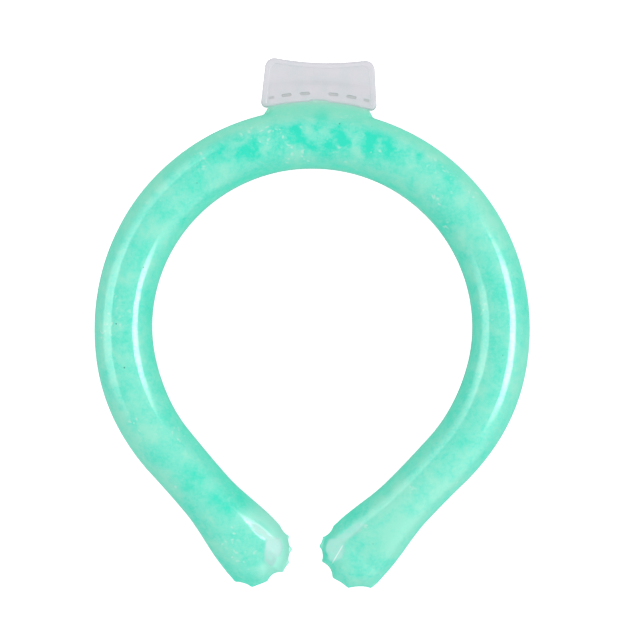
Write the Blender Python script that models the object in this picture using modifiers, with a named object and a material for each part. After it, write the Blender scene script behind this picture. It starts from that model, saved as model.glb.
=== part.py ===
"""A cooling neck ring: a soft filled tube bent to a horseshoe, with a sealing tab at the nape."""

import math

import bmesh
import bpy
from mathutils import Vector

for leftover in list(bpy.data.objects):
    bpy.data.objects.remove(leftover, do_unlink=True)

# Driving sizes in metres, angles in degrees
TUBE_D = 0.0220
RING_R = 0.0710
ARC_HALF = 132.5
LEG = 0.0487
SKIN_WALL = 0.0015
FIT = 0.0003

# The tips: the welded rim's radius, its thickness, and the round filled end inside it
RIM_R = 0.0141
RIM_THICK = 0.0012
RIM_WIDTH = 0.0025
TIP_HEIGHT_SHARE = 0.66

# The filling spout at the nape, flattened to a tongue that the sealing tab sleeves
SPOUT_W = 0.0364
SPOUT_REACH = 0.00335
TONGUE = 0.0073
TONGUE_THICK = 0.0018
SLIT = 0.0005

# The sealing tab
TAB_W = 0.0434
TAB_TOP_W = 0.0413
TAB_HEIGHT = 0.0160
TAB_DIP = 0.0013
TAB_SHEET = 0.0010
TAB_FIT = 0.00025
BORDER = 0.0021
BORDER_RISE = 0.0003
TAB_TOP_CORNER = 0.0026
TAB_LOW_CORNER = 0.0020
TAB_EDGE = 0.0004

# The weld marks pressed into the tab
DENT_LENGTH = 0.0034
DENT_WIDTH = 0.0011
DENT_DEPTH = 0.0005
DENT_ABOVE_EDGE = 0.0023
DENT_ANGLES = (3.5, 8.0, 11.8)

# How finely the round shapes are divided
SIDES = 20
BORE_SIDES = 16
ARC_STEPS = 36
LEG_STEPS = 6
END_ANGLES = (22.0, 42.0, 58.0, 72.0, 85.5)
BORE_END_ANGLES = (24.0, 44.0, 60.0, 71.0)
SCALLOP_STEPS = 4
ARCH_STEPS = 8
CORNER_STEPS = 4

# Edges that bend more than this stay sharp, and those of the tab that bend more are softened
SHARP_ANGLE = 35.0
SOFTENED_ANGLE = 60.0

# Place from the nape (0) over the arc's end (1) to the middle of the tip (2),
# then width and height as shares of the tube's diameter
TUBE_SHAPE = (
    (0.00, 1.02, 1.00),
    (0.35, 1.00, 1.00),
    (0.68, 0.985, 1.00),
    (0.83, 1.02, 1.00),
    (1.00, 0.98, 1.00),
    (1.25, 0.955, 1.00),
    (1.45, 0.96, 0.99),
    (1.70, 0.985, 0.91),
    (1.85, 1.00, 0.81),
    (2.00, 1.02, TIP_HEIGHT_SHARE),
)

# The rim's edge before its scallops: share of the leg, then share of the rim's radius
RIM_EDGE = (
    (0.49, 0.68),
    (0.62, 0.79),
    (0.82, 0.86),
    (0.92, 0.925),
    (1.00, 0.965),
)

# The points between the scallops: degrees from the inner side round the end,
# then share of the rim's radius
LEFT_CUSPS = (
    (-2, 0.965),
    (20, 1.01),
    (41, 1.02),
    (62, 1.005),
    (79, 0.995),
    (107, 0.94),
    (134, 1.01),
    (161, 1.01),
)
RIGHT_CUSPS = (
    (-5, 0.98),
    (20, 1.01),
    (35, 1.03),
    (59, 1.00),
    (90, 0.97),
    (120, 1.00),
    (155, 1.025),
    (168, 0.99),
)
SCALLOP_DEPTH = 0.14

# The spout from inside the tube to its flat tongue: reach past the tube's outer edge as a share
# of SPOUT_REACH, then half width as a share of SPOUT_W / 2, then half height as a share of TUBE_D
SPOUT_SHAPE = (
    (-2.4, 1.10, 0.205),
    (-0.9, 1.09, 0.190),
    (-0.3, 1.04, 0.145),
    (0.2, 1.00, 0.100),
)
SPOUT_POWER = 3.0

TUBE_EDGE_R = RING_R + TUBE_D / 2
TAB_LOW_R = TUBE_EDGE_R + SPOUT_REACH
TONGUE_END_R = TAB_LOW_R + TONGUE
MID_Z = TUBE_D / 2
TAB_THICK = TONGUE_THICK + 2 * (TAB_FIT + TAB_SHEET + BORDER_RISE)
UP = Vector((0, 0, 1))

part_collection = bpy.data.collections.new("cooling_neck_ring")
cutter_collection = bpy.data.collections.new("cutters")
bpy.context.scene.collection.children.link(part_collection)
bpy.context.scene.collection.children.link(cutter_collection)
cutter_collection.hide_render = True


def make_material(name, colour, roughness, transmission):
    material = bpy.data.materials.new(name)
    material.use_nodes = True
    shader = material.node_tree.nodes["Principled BSDF"]
    shader.inputs["Base Color"].default_value = (*colour, 1)
    shader.inputs["Roughness"].default_value = roughness
    shader.inputs["Transmission Weight"].default_value = transmission
    return material


def add_object(name, bm, material=None):
    """One object from a bmesh: a part if it has a material, else a cutter."""
    bmesh.ops.recalc_face_normals(bm, faces=bm.faces)
    mesh = bpy.data.meshes.new(name)
    bm.to_mesh(mesh)
    bm.free()
    obj = bpy.data.objects.new(name, mesh)
    if material:
        mesh.materials.append(material)
        part_collection.objects.link(obj)
    else:
        obj.hide_render = True
        obj.display_type = "WIRE"
        cutter_collection.objects.link(obj)
    for polygon in mesh.polygons:
        polygon.use_smooth = True
    mesh.set_sharp_from_angle(angle=math.radians(SHARP_ANGLE))
    return obj


def combine(target, tool, operation):
    modifier = target.modifiers.new(tool.name, "BOOLEAN")
    modifier.operation = operation
    modifier.solver = "EXACT"
    modifier.object = tool


def loft(rings):
    """A closed body over rings with the same even count of points, each mirrored about its middle."""
    bm = bmesh.new()
    rows = [[bm.verts.new(point) for point in ring] for ring in rings]
    count = len(rows[0])
    for row, following in zip(rows, rows[1:]):
        for k in range(count):
            after = (k + 1) % count
            bm.faces.new((row[k], row[after], following[after], following[k]))
    for row in (rows[0], rows[-1]):
        for k in range(count // 2 - 1):
            bm.faces.new((row[k], row[k + 1], row[count - 2 - k], row[count - 1 - k]))
    return bm


def plate(outline, thickness, middle):
    """A flat body of this outline and thickness, about the height middle."""
    bm = bmesh.new()
    low = middle - thickness / 2
    face = bm.faces.new([bm.verts.new((point.x, point.y, low)) for point in outline])
    grown = bmesh.ops.extrude_face_region(bm, geom=[face])["geom"]
    raised = [item for item in grown if isinstance(item, bmesh.types.BMVert)]
    bmesh.ops.translate(bm, verts=raised, vec=UP * thickness)
    return bm


def unit_section(sides, power=2.0):
    """Points round a section of half width and half height 1, with flats on its four sides."""
    points = []
    for k in range(sides):
        angle = 2 * math.pi * (k + 0.5) / sides
        across = math.copysign(abs(math.cos(angle)) ** (2 / power), math.cos(angle))
        upward = math.copysign(abs(math.sin(angle)) ** (2 / power), math.sin(angle))
        points.append((across, upward))
    reach = max(across for across, _ in points)
    rise = max(upward for _, upward in points)
    return [(across / reach, upward / rise) for across, upward in points]


def shape_at(place):
    """Half width and half height of the tube at a place of TUBE_SHAPE."""
    for (start, *before), (end, *after) in zip(TUBE_SHAPE, TUBE_SHAPE[1:]):
        if place <= end:
            share = (place - start) / (end - start)
            width, height = (a + (b - a) * share for a, b in zip(before, after))
            return width * TUBE_D / 2, height * TUBE_D / 2
    raise ValueError(place)


def leg_frame(side):
    """The arc's end, the leg's direction and the outward direction on one side (-1 left, 1 right)."""
    angle = math.radians(ARC_HALF)
    outward = Vector((side * math.sin(angle), math.cos(angle), 0))
    along = Vector((side * math.cos(angle), -math.sin(angle), 0))
    return outward * RING_R + UP * MID_Z, along, outward


def tube_ring(middle, outward, half_w, half_h, section):
    return [middle + outward * (half_w * a) + UP * (half_h * b) for a, b in section]


def tube_rings(inset, sides, end_angles):
    """The tube's sections from the left tip over the nape to the right tip, all drawn in by inset."""
    section = unit_section(sides)
    halves = {}
    for side in (-1, 1):
        rings = []
        arc_end, along, outward = leg_frame(side)
        for step in range(1, ARC_STEPS // 2 + 1):
            place = 2 * step / ARC_STEPS
            angle = math.radians(ARC_HALF) * place
            radial = Vector((side * math.sin(angle), math.cos(angle), 0))
            half_w, half_h = shape_at(place)
            middle = radial * RING_R + UP * MID_Z
            rings.append(tube_ring(middle, radial, half_w - inset, half_h - inset, section))
        for step in range(1, LEG_STEPS + 1):
            place = step / LEG_STEPS
            half_w, half_h = shape_at(1 + place)
            middle = arc_end + along * (LEG * place)
            rings.append(tube_ring(middle, outward, half_w - inset, half_h - inset, section))
        for degrees in end_angles:
            turn = math.radians(degrees)
            end_r = RIM_R - RIM_WIDTH - inset
            middle = arc_end + along * (LEG + end_r * math.sin(turn))
            drawn_in = half_h * math.cos(turn) - inset
            rings.append(tube_ring(middle, outward, end_r * math.cos(turn), drawn_in, section))
        halves[side] = rings
    half_w, half_h = shape_at(0)
    nape = Vector((0, RING_R, MID_Z))
    top = tube_ring(nape, Vector((0, 1, 0)), half_w - inset, half_h - inset, section)
    return halves[-1][::-1] + [top] + halves[1]


def rim_outline(side, cusps):
    """The welded rim of one tip: straight edges that leave the tube, then scallops round the end."""
    arc_end, along, outward = leg_frame(side)
    middle = arc_end + along * LEG
    points = [arc_end + along * (LEG * a) - outward * (RIM_R * b) for a, b in RIM_EDGE[:-1]]
    corners = []
    for degrees, share in cusps:
        turn = math.radians(degrees)
        toward = along * math.sin(turn) - outward * math.cos(turn)
        corners.append(middle + toward * (RIM_R * share))
    for corner, following in zip(corners, corners[1:]):
        chord = following - corner
        inward = (middle - (corner + following) / 2).normalized()
        for step in range(SCALLOP_STEPS):
            share = step / SCALLOP_STEPS
            sag = SCALLOP_DEPTH * chord.length * 4 * share * (1 - share)
            points.append(corner + chord * share + inward * sag)
    points.append(corners[-1])
    points += [arc_end + along * (LEG * a) + outward * (RIM_R * b) for a, b in RIM_EDGE[::-1]]
    return points


def spout_rows(inset, extra):
    """Radius, half width and half height of the spout's sections, the tongue drawn out by extra."""
    rows = []
    thinnest = TONGUE_THICK / 2 if inset <= 0 else SLIT / 2
    for reach, width, height in SPOUT_SHAPE:
        half_h = max(height * TUBE_D - inset, thinnest)
        rows.append((TUBE_EDGE_R + reach * SPOUT_REACH, width * SPOUT_W / 2 - inset, half_h))
    rows.append((TAB_LOW_R - TAB_FIT, SPOUT_W / 2 - inset, thinnest))
    rows.append((TONGUE_END_R + extra, SPOUT_W / 2 - inset, thinnest))
    return rows


def arched_rings(rows, sides):
    """Flat sections across the nape, each bent to its own radius about the ring's centre."""
    section = unit_section(sides, SPOUT_POWER)
    rings = []
    for radius, half_w, half_h in rows:
        ring = []
        for across, upward in section:
            x = half_w * across
            ring.append(Vector((x, math.sqrt(radius**2 - x**2), MID_Z + half_h * upward)))
        rings.append(ring)
    return rings


def round_corners(corners):
    """An outline from (point, radius) pairs, with an arc in place of each corner that has a radius."""
    outline = []
    for k, (point, radius) in enumerate(corners):
        if not radius:
            outline.append(point)
            continue
        back = (corners[k - 1][0] - point).normalized()
        ahead = (corners[(k + 1) % len(corners)][0] - point).normalized()
        half = back.angle(ahead) / 2
        centre = point + (back + ahead).normalized() * (radius / math.sin(half))
        first = point + back * (radius / math.tan(half)) - centre
        last = point + ahead * (radius / math.tan(half)) - centre
        for step in range(CORNER_STEPS + 1):
            arm = first.slerp(last, step / CORNER_STEPS).normalized()
            outline.append(centre + arm * radius)
    return outline


def tab_outline(inset, low_r):
    """The tab's outline in plan, drawn in by inset at its sides and top, its lower edge at low_r."""
    low_x = TAB_W / 2 - inset
    top_x = TAB_TOP_W / 2 - inset
    top_y = TAB_LOW_R + TAB_HEIGHT - inset
    low_corner = TAB_LOW_CORNER if inset == 0 else 0
    top_corner = TAB_TOP_CORNER - inset / 2
    corners = []
    for step in range(ARCH_STEPS + 1):
        share = 2 * step / ARCH_STEPS - 1
        x = share * (low_x if abs(share) == 1 else low_x - TAB_LOW_CORNER)
        radius = low_corner if abs(share) == 1 else 0
        corners.append((Vector((x, math.sqrt(low_r**2 - x**2), 0)), radius))
    for step in range(ARCH_STEPS + 1):
        share = 1 - 2 * step / ARCH_STEPS
        x = share * (top_x if abs(share) == 1 else top_x - TAB_TOP_CORNER)
        radius = top_corner if abs(share) == 1 else 0
        corners.append((Vector((x, top_y - TAB_DIP * (1 - share**2), 0)), radius))
    return round_corners(corners)


def dent_outline(degrees):
    """A slot with round ends, laid along the tab's lower edge."""
    turn = math.radians(degrees)
    radial = Vector((math.sin(turn), math.cos(turn), 0))
    tangent = Vector((radial.y, -radial.x, 0))
    middle = radial * (TAB_LOW_R + DENT_ABOVE_EDGE)
    points = []
    for end in (1, -1):
        centre = middle + tangent * (end * (DENT_LENGTH - DENT_WIDTH) / 2)
        for step in range(CORNER_STEPS + 1):
            bend = math.pi * (step / CORNER_STEPS - 0.5)
            arm = tangent * math.cos(bend) + radial * math.sin(bend)
            points.append(centre + arm * (end * DENT_WIDTH / 2))
    return points


skin_material = make_material("tube_skin", (0.21, 0.80, 0.60), 0.12, 0.0)
gel_material = make_material("gel_core", (0.04, 0.73, 0.52), 0.40, 0.0)
tab_material = make_material("seal_tab", (0.72, 0.73, 0.76), 0.35, 0.6)

# The skin: the tube with its spout and its two welded rims, then the hollow and the filling slit
skin = add_object("tube_skin", loft(tube_rings(0, SIDES, END_ANGLES)), skin_material)
spout = add_object("spout_form", loft(arched_rings(spout_rows(0, 0), SIDES)))
combine(skin, spout, "UNION")
for side, side_name, cusps in ((-1, "left", LEFT_CUSPS), (1, "right", RIGHT_CUSPS)):
    rim = add_object(f"rim_{side_name}_form", plate(rim_outline(side, cusps), RIM_THICK, MID_Z))
    combine(skin, rim, "UNION")
bore = add_object("bore_cutter", loft(tube_rings(SKIN_WALL, BORE_SIDES, BORE_END_ANGLES)))
combine(skin, bore, "DIFFERENCE")
channel_rows = spout_rows(SKIN_WALL, TAB_FIT)
channel = add_object("channel_cutter", loft(arched_rings(channel_rows, BORE_SIDES)))
combine(skin, channel, "DIFFERENCE")

# The gel that fills the hollow
gel_rings = tube_rings(SKIN_WALL + FIT, BORE_SIDES, BORE_END_ANGLES[:-1])
gel = add_object("gel_core", loft(gel_rings), gel_material)

# The sealing tab: a flat body with a soft edge, a raised border, a pocket and the weld marks
tab = add_object("seal_tab", plate(tab_outline(0, TAB_LOW_R), TAB_THICK, MID_Z), tab_material)
soften = tab.modifiers.new("soft_edge", "BEVEL")
soften.width = TAB_EDGE
soften.segments = 1
soften.limit_method = "ANGLE"
soften.angle_limit = math.radians(SOFTENED_ANGLE)
panel_z = TAB_THICK / 2 - BORDER_RISE
panel_outline = tab_outline(BORDER, TAB_LOW_R - TAB_HEIGHT / 2)
for sign, face_name in ((1, "top"), (-1, "bottom")):
    height = MID_Z + sign * (panel_z + TAB_SHEET)
    panel = add_object(f"panel_{face_name}_cutter", plate(panel_outline, 2 * TAB_SHEET, height))
    combine(tab, panel, "DIFFERENCE")
pocket_rows = [
    (TUBE_EDGE_R, SPOUT_W / 2 + TAB_FIT, TONGUE_THICK / 2 + TAB_FIT),
    (TONGUE_END_R + TAB_FIT, SPOUT_W / 2 + TAB_FIT, TONGUE_THICK / 2 + TAB_FIT),
]
pocket = add_object("pocket_cutter", loft(arched_rings(pocket_rows, SIDES)))
combine(tab, pocket, "DIFFERENCE")
for degrees in (*DENT_ANGLES, *(-angle for angle in DENT_ANGLES)):
    for sign in (1, -1):
        height = MID_Z + sign * (panel_z - DENT_DEPTH + TAB_SHEET)
        dent = add_object("dent_cutter", plate(dent_outline(degrees), 2 * TAB_SHEET, height))
        combine(tab, dent, "DIFFERENCE")

# The origin goes to the middle of the footprint, on the surface that the ring lies on
bpy.context.view_layer.update()
graph = bpy.context.evaluated_depsgraph_get()
corners = []
for obj in part_collection.objects:
    corners += [Vector(corner) for corner in obj.evaluated_get(graph).bound_box]
spans = [(min(c[axis] for c in corners), max(c[axis] for c in corners)) for axis in range(3)]
(x_low, x_high), (y_low, y_high), (z_low, _) = spans
for obj in (*part_collection.objects, *cutter_collection.objects):
    for vertex in obj.data.vertices:
        vertex.co -= Vector(((x_low + x_high) / 2, (y_low + y_high) / 2, z_low))
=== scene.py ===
# %% [markdown]
# # A cooling neck ring
# The real thing is one moulded tube of soft, milky mint plastic, filled with a gel that sets to slush
# when it is cold. Its two ends are welded shut, which leaves a thin scalloped rim round each tip, and
# the spout that it was filled through is pressed flat and closed by a frosted clear tab.
# The exact solids come first, as a fixed frame. Every piece made below sits on that frame.

# %% Load the frame
import math

import bmesh
import bpy
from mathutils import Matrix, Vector, noise


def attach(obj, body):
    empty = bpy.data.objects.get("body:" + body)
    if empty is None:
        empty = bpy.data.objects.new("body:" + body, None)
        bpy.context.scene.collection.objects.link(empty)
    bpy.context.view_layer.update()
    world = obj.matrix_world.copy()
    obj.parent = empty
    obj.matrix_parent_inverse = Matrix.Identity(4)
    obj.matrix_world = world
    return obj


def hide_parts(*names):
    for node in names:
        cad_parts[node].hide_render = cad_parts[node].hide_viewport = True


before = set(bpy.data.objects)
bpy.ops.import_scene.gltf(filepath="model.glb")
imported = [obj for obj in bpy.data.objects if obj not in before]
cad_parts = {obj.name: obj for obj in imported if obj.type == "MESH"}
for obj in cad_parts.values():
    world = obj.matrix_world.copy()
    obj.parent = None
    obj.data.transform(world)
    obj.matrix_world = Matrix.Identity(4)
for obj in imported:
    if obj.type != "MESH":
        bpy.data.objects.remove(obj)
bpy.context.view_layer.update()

MM = 0.001
print("nodes in the frame:", sorted(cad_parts))

# %% [markdown]
# ## Sizes
# All plan sizes are read in the ring's own frame: its centre is the middle of the round opening, +Y
# points to the nape. The frame's origin is the middle of the whole footprint instead, so each mesh is
# moved by RING_Y once it is made.

# %% Name the sizes
RING_Y = -1.515 * MM
TUBE_D = 22.0 * MM
RING_R = 71.0 * MM
ARC_HALF = 132.5
LEG = 48.7 * MM
MID_Z = TUBE_D / 2
RIM_R = 14.1 * MM
RIM_HALF = 0.6 * MM
TUBE_EDGE_R = RING_R + TUBE_D / 2
TAB_LOW_R = TUBE_EDGE_R + 3.35 * MM
TONGUE_END_R = TAB_LOW_R + 7.3 * MM
TONGUE_HALF = 0.9 * MM
SPOUT_HALF_W = 18.2 * MM
UP = Vector((0, 0, 1))

# %% [markdown]
# ## Camera
# The ring lies face on under the lens, so the camera looks straight down. A long lens from a metre up
# keeps the view flat. The ring is turned by a little under two degrees in the frame, and the camera's
# own roll gives that turn, because the object itself stays square to its frame.

# %% Hang the camera over the ring
PIXEL = 0.376 * MM
ROLL = math.radians(1.7)
RING_PIXEL = (312.2, 327.8)
CAMERA_HEIGHT = 1.0
SENSOR = 36.0

right = Vector((math.cos(ROLL), math.sin(ROLL), 0))
upward = Vector((-math.sin(ROLL), math.cos(ROLL), 0))
aim = Vector((0, RING_Y, MID_Z))
aim += right * (PIXEL * (320 - RING_PIXEL[0])) + upward * (PIXEL * (RING_PIXEL[1] - 320))
camera_data = bpy.data.cameras.new("overhead_camera")
camera_data.sensor_width = SENSOR
camera_data.lens = SENSOR * CAMERA_HEIGHT / (640 * PIXEL)
camera = bpy.data.objects.new("overhead_camera", camera_data)
camera.location = aim + UP * CAMERA_HEIGHT
camera.rotation_euler = (0, 0, ROLL)
bpy.context.scene.collection.objects.link(camera)
bpy.context.scene.camera = camera
print("camera lens in mm:", round(camera_data.lens, 1))

# %% [markdown]
# ## Floor and light
# A white sweep under a soft white sky, brighter overhead than at the horizon, gives a nearly shadowless
# look with slightly deeper colour at the ring's sides. Gloss only shows where it mirrors something
# brighter than that sky, so softboxes stand round the ring: a narrow bright one on the right, for the
# thin white bands, and wide dim ones on the left, behind it and in front on the right, for the pale ones.

# %% Lay the floor and set the lights
FLOOR_HALF = 3.0


def link(obj):
    bpy.context.scene.collection.objects.link(obj)
    return obj


def principled(material):
    return material.node_tree.nodes["Principled BSDF"]


def new_material(name):
    material = bpy.data.materials.new(name)
    material.use_nodes = True
    return material


floor_mesh = bpy.data.meshes.new("floor")
corners = [(-FLOOR_HALF, -FLOOR_HALF), (FLOOR_HALF, -FLOOR_HALF), (FLOOR_HALF, FLOOR_HALF), (-FLOOR_HALF, FLOOR_HALF)]
floor_mesh.from_pydata([(x, y, 0) for x, y in corners], [], [(0, 1, 2, 3)])
floor = link(bpy.data.objects.new("floor", floor_mesh))
floor_paint = new_material("white_sweep")
principled(floor_paint).inputs["Base Color"].default_value = (0.60, 0.60, 0.60, 1)
principled(floor_paint).inputs["Roughness"].default_value = 0.9
principled(floor_paint).inputs["Specular IOR Level"].default_value = 0.0
principled(floor_paint).inputs["Emission Color"].default_value = (1, 1, 1, 1)
seen = floor_paint.node_tree.nodes.new("ShaderNodeLightPath").outputs["Is Camera Ray"]
floor_glow = floor_paint.node_tree.nodes.new("ShaderNodeMath")
floor_glow.operation = "MULTIPLY"
floor_glow.inputs[1].default_value = 0.75
floor_paint.node_tree.links.new(seen, floor_glow.inputs[0])
floor_paint.node_tree.links.new(floor_glow.outputs[0], principled(floor_paint).inputs["Emission Strength"])
floor_mesh.materials.append(floor_paint)

world = bpy.data.worlds.new("even_sky")
world.use_nodes = True
sky = world.node_tree
steepness = sky.nodes.new("ShaderNodeSeparateXYZ")
gradient = sky.nodes.new("ShaderNodeMapRange")
gradient.inputs["To Min"].default_value = 0.76
gradient.inputs["To Max"].default_value = 1.42
sky.links.new(sky.nodes.new("ShaderNodeTexCoord").outputs["Generated"], steepness.inputs[0])
sky.links.new(steepness.outputs["Z"], gradient.inputs["Value"])
glossy = sky.nodes.new("ShaderNodeLightPath").outputs["Is Glossy Ray"]
slant = sky.nodes.new("ShaderNodeMapRange")
slant.inputs["To Min"].default_value = 0.20
slant.inputs["To Max"].default_value = 0.55
sky.links.new(glossy, slant.inputs["Value"])
from_right = sky.nodes.new("ShaderNodeMath")
from_right.operation = "MULTIPLY_ADD"
sky.links.new(slant.outputs["Result"], from_right.inputs[1])
sky.links.new(steepness.outputs["X"], from_right.inputs[0])
sky.links.new(gradient.outputs["Result"], from_right.inputs[2])
sky.links.new(from_right.outputs[0], sky.nodes["Background"].inputs["Strength"])
sky.nodes["Background"].inputs["Color"].default_value = (1, 1, 1, 1)
bpy.context.scene.world = world
bpy.context.scene.view_settings.view_transform = "Standard"


SOFTBOXES = (
    # name, heading and tilt in degrees, degrees spanned, length, distance, radiance, unfaded share of its
    # half length, share of the radiance left at its lower edge
    ("bright_strip", 0, 48, 22, 0.86, 0.9, 34.0, 0.2, 1.0),
    ("wide_softbox", 180, 67, 36, 1.0, 1.0, 10.5, 0.3, 0.6),
    ("back_panel", 142, 65, 34, 1.0, 1.0, 5.8, 0.3, 0.2),
    ("front_panel", -41, 69, 40, 0.9, 1.0, 2.2, 0.3, 0.8),
)


def fade_face(light, core, foot):
    """Let the light's face die away towards both ends, past the share core of its half length, and towards
    its lower edge, where the share foot is left."""
    light.use_nodes = True
    tree = light.node_tree
    place = tree.nodes.new("ShaderNodeSeparateXYZ")
    tree.links.new(tree.nodes.new("ShaderNodeNewGeometry").outputs["Parametric"], place.inputs[0])
    centred = tree.nodes.new("ShaderNodeMath")
    centred.operation = "SUBTRACT"
    centred.inputs[1].default_value = 0.5
    tree.links.new(place.outputs["Y"], centred.inputs[0])
    off_centre = tree.nodes.new("ShaderNodeMath")
    off_centre.operation = "ABSOLUTE"
    tree.links.new(centred.outputs[0], off_centre.inputs[0])
    fall = tree.nodes.new("ShaderNodeMapRange")
    fall.interpolation_type = "SMOOTHSTEP"
    fall.inputs["From Min"].default_value = 0.5
    fall.inputs["From Max"].default_value = 0.5 * core
    tree.links.new(off_centre.outputs[0], fall.inputs["Value"])
    down = tree.nodes.new("ShaderNodeMapRange")
    down.inputs["To Min"].default_value = 1.0
    down.inputs["To Max"].default_value = foot
    tree.links.new(place.outputs["X"], down.inputs["Value"])
    face = tree.nodes.new("ShaderNodeMath")
    face.operation = "MULTIPLY"
    tree.links.new(fall.outputs["Result"], face.inputs[0])
    tree.links.new(down.outputs["Result"], face.inputs[1])
    tree.links.new(face.outputs[0], tree.nodes["Emission"].inputs["Strength"])


def softbox(name, heading, tilt, spread, length, distance, radiance, core, foot):
    """A long box that shows in gloss alone. heading is anticlockwise from +X, tilt its middle's angle from
    straight up, spread the angle that it spans across and radiance how bright its face looks."""
    around, turn = math.radians(heading), math.radians(tilt)
    level = Vector((math.cos(around), math.sin(around), 0))
    width = 2 * distance * math.tan(math.radians(spread / 2))
    data = bpy.data.lights.new(name, "AREA")
    data.shape = "RECTANGLE"
    data.size, data.size_y = width, length
    data.energy = radiance * math.pi * width * length
    fade_face(data, core, foot)
    obj = link(bpy.data.objects.new(name, data))
    obj.location = aim + (level * math.sin(turn) + UP * math.cos(turn)) * distance
    obj.rotation_euler = (0, turn, around)
    obj.visible_diffuse = False
    return obj


lights = [softbox(*row) for row in SOFTBOXES]
print("lights:", [light.name for light in lights])

# %% [markdown]
# ## The skin's path and sections
# The tube is a loft: sections placed along a path. The path is a circular arc with two straight legs.
# Each section starts as an ellipse whose width and height come from a short table of shares, read off
# a smooth curve so that no kink shows in the gloss.

# %% Read smooth values from short tables
TUBE_SHAPE = (
    # place (0 nape, 1 end of arc, 2 middle of tip), width share, height share
    (0.00, 1.02, 1.00),
    (0.35, 1.00, 1.00),
    (0.68, 0.985, 1.00),
    (0.83, 1.015, 1.00),
    (1.00, 0.98, 1.00),
    (1.25, 0.955, 1.00),
    (1.45, 0.96, 1.00),
    (1.70, 0.985, 0.95),
    (1.85, 1.01, 0.85),
    (2.00, 1.045, 0.69),
)
TIP_MARGIN = 0.3 * MM
TIP_POWER = 2.6
TIP_FALL = 0.70
RIM_EDGE = (
    # place on the leg, half width as a share of the rim's radius
    (0.49, 0.66),
    (0.62, 0.775),
    (0.82, 0.86),
    (0.92, 0.925),
    (1.00, 0.965),
)


def smooth_value(table, x, column):
    """A value of one column at x, on a cubic that passes through the rows."""
    rows = [row for row in table]
    k = max(i for i, row in enumerate(rows[:-1]) if row[0] <= x or i == 0)
    (x0, y0), (x1, y1) = [(rows[i][0], rows[i][column]) for i in (k, k + 1)]

    def slope(i):
        low, high = max(i - 1, 0), min(i + 1, len(rows) - 1)
        return (rows[high][column] - rows[low][column]) / (rows[high][0] - rows[low][0])

    t = min(max((x - x0) / (x1 - x0), 0), 1)
    h = x1 - x0
    return (
        (2 * t**3 - 3 * t**2 + 1) * y0
        + (t**3 - 2 * t**2 + t) * h * slope(k)
        + (3 * t**2 - 2 * t**3) * y1
        + (t**3 - t**2) * h * slope(k + 1)
    )


def smoothstep(low, high, x):
    """0 at low and 1 at high, with no kink at either end; low may be the larger one."""
    t = min(max((x - low) / (high - low), 0), 1)
    return t * t * (3 - 2 * t)


def soft_max(a, b, blend):
    """The larger of two heights, with a fillet where they meet."""
    h = max(blend - abs(a - b), 0) / blend
    return max(a, b) + h * h * blend / 4


print("tube width at the nape and the arc's end:", smooth_value(TUBE_SHAPE, 0, 1), smooth_value(TUBE_SHAPE, 1, 1))

# %% [markdown]
# ## The welded rims
# Each tip was sealed between jaws with a scalloped edge, and the weld is thin and flat. Its outline is
# a ring of points round the tip, joined by shallow hollows. The two tips were cut by hand from the
# same jaws, so their points don't fall in quite the same places.

# %% Find the rim's edge round a tip
LEFT_CUSPS = (
    # degrees from the inner side round the end, share of the rim's radius, depth of the hollow after it
    (-2, 0.965, 0.08),
    (20, 1.01, 0.10),
    (41, 1.025, 0.09),
    (62, 1.01, 0.03),
    (79, 1.00, 0.18),
    (107, 0.94, -0.03),
    (134, 1.015, 0.05),
    (161, 1.01, 0.00),
)
RIGHT_CUSPS = (
    (-5, 0.98, 0.12),
    (20, 1.01, 0.06),
    (35, 1.03, 0.12),
    (59, 1.00, 0.17),
    (90, 0.97, 0.04),
    (120, 1.00, 0.06),
    (155, 1.025, 0.00),
    (168, 0.99, 0.00),
)
SCALLOP_STEPS = 10
CUSP_SOFTNESS = 0.4


def rim_edge_points(cusps):
    """Edge points round one tip, as (inward, along) from the middle of the tip."""
    corners = []
    for degrees, share, _ in cusps:
        turn = math.radians(degrees)
        corners.append(Vector((math.cos(turn), math.sin(turn))) * (RIM_R * share))
    points = []
    for corner, following, (_, _, depth) in zip(corners, corners[1:], cusps):
        chord = following - corner
        inward = -((corner + following) / 2).normalized()
        for step in range(SCALLOP_STEPS):
            share = step / SCALLOP_STEPS
            sag = depth * chord.length * 4 * share * (1 - share)
            points.append(corner + chord * share + inward * sag)
    last = Vector((-1, 0)) * (RIM_R * RIM_EDGE[-1][1])
    steps = 4
    points += [corners[-1].lerp(last, step / steps) for step in range(steps + 1)]
    middle = [p.lerp((a + b) / 2, CUSP_SOFTNESS) for a, p, b in zip(points, points[1:], points[2:])]
    return [points[0], *middle, points[-1]]


print("edge points per tip:", len(rim_edge_points(LEFT_CUSPS)), len(rim_edge_points(RIGHT_CUSPS)))

# %% [markdown]
# ## One quarter of a section
# Seen from the path, the upper outer quarter of a section runs from the crown down the ellipse and out
# along whatever stands out from the tube there: nothing, the welded rim, or the flattened spout. The
# lower quarters mirror it. Points keep the same order everywhere, so the quads between sections never twist.

# %% Build the quarter profile
BODY_POINTS = 28
FLANGE_POINTS = 8
BODY_END = math.radians(24)


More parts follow.
